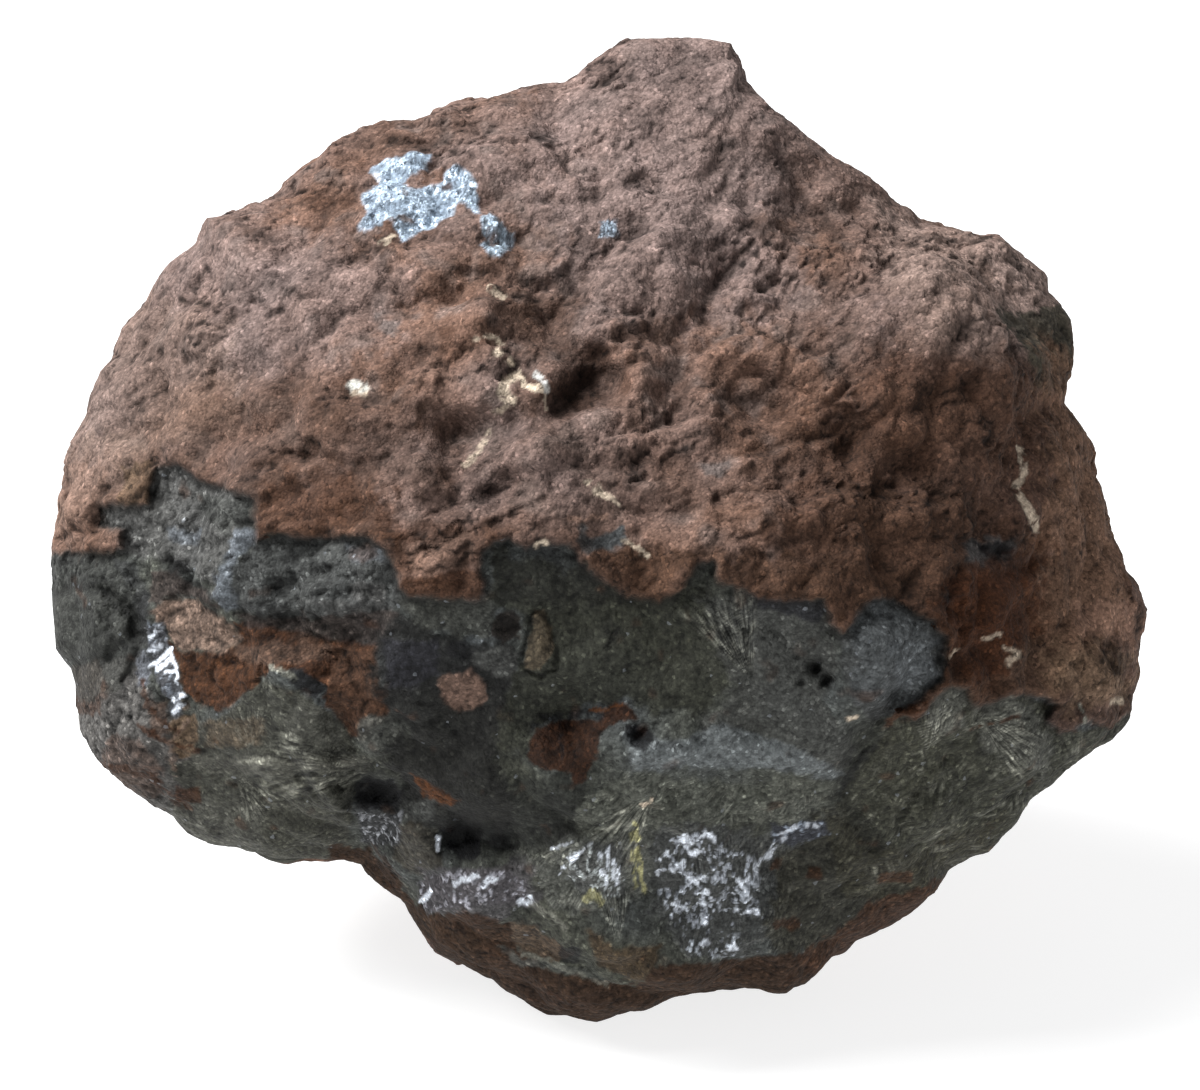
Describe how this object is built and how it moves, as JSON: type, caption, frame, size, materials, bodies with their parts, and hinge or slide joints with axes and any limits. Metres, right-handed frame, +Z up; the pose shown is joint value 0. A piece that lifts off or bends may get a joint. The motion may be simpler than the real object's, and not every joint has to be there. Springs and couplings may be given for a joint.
{
  "type": "pyrolusite specimen",
  "caption": "Lump of pyrolusite ore: reddish brown earthy crust above, broken steel-grey fibrous pyrolusite with bright needle sprays below.",
  "frame": {"origin": "centre of the specimen's bounding box in plan, at the flat base it rests on", "axes": "+X to the right seen from the front, +Y from the grey ore front to the back, +Z up"},
  "size_m": [0.15, 0.1059, 0.1212],
  "materials": {
    "ore_rock": "rough earthy brown crust over dull to bright steel-grey fibrous ore"
  },
  "bodies": {
    "root": {"specimen": "ore_rock"}
  },
  "joints": []
}
